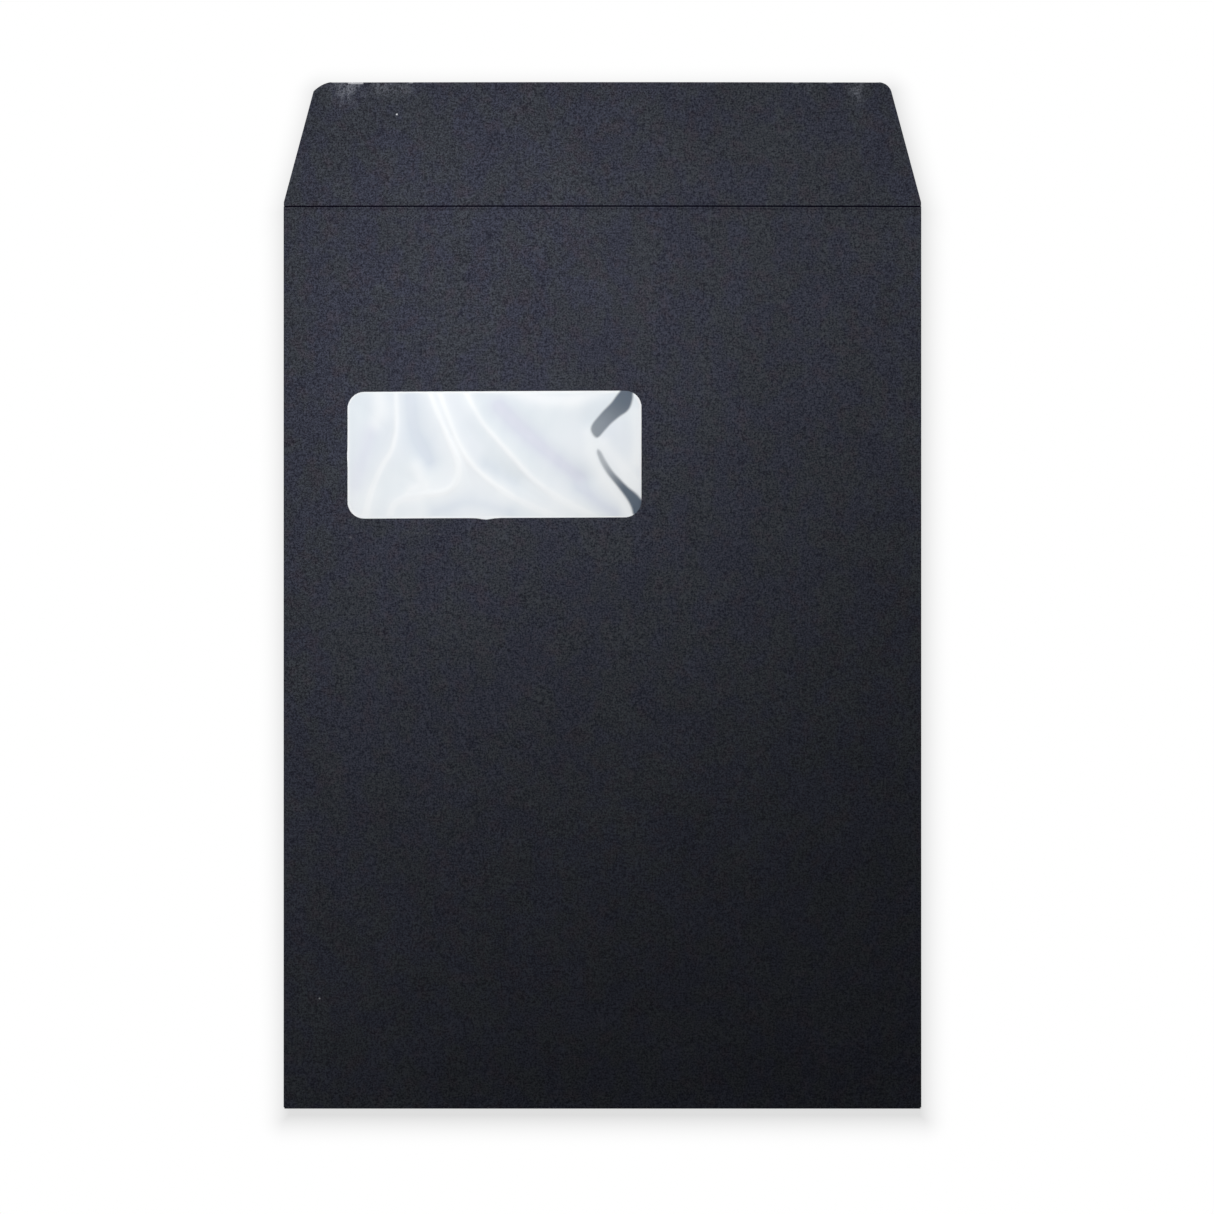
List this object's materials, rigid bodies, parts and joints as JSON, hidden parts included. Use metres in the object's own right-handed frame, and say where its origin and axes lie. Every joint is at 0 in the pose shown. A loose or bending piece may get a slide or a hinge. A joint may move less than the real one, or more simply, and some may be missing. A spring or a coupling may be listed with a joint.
{
  "type": "envelope",
  "caption": "Black paper pocket envelope for flat sheets, with a film window in its address side and its peel-and-seal flap lying open.",
  "frame": {"origin": "on the table, under the middle of the opened envelope's bounding box", "axes": "+X across the envelope to the right as its address side is read, +Y up it towards the seal flap, +Z out of the address side"},
  "size_m": [0.229, 0.3684, 0.0086],
  "materials": {
    "black_paper": "matt black envelope paper with a fine fibrous grain",
    "window_film": "clear glossy film, wrinkled, with a pale sheen",
    "adhesive": "tacky, slightly glossy",
    "release_paper": "smooth satin release paper"
  },
  "bodies": {
    "root": {"envelope_sheet": "black_paper", "window_film": "window_film", "adhesive_strip": "adhesive", "release_liner": "release_paper"}
  },
  "joints": []
}
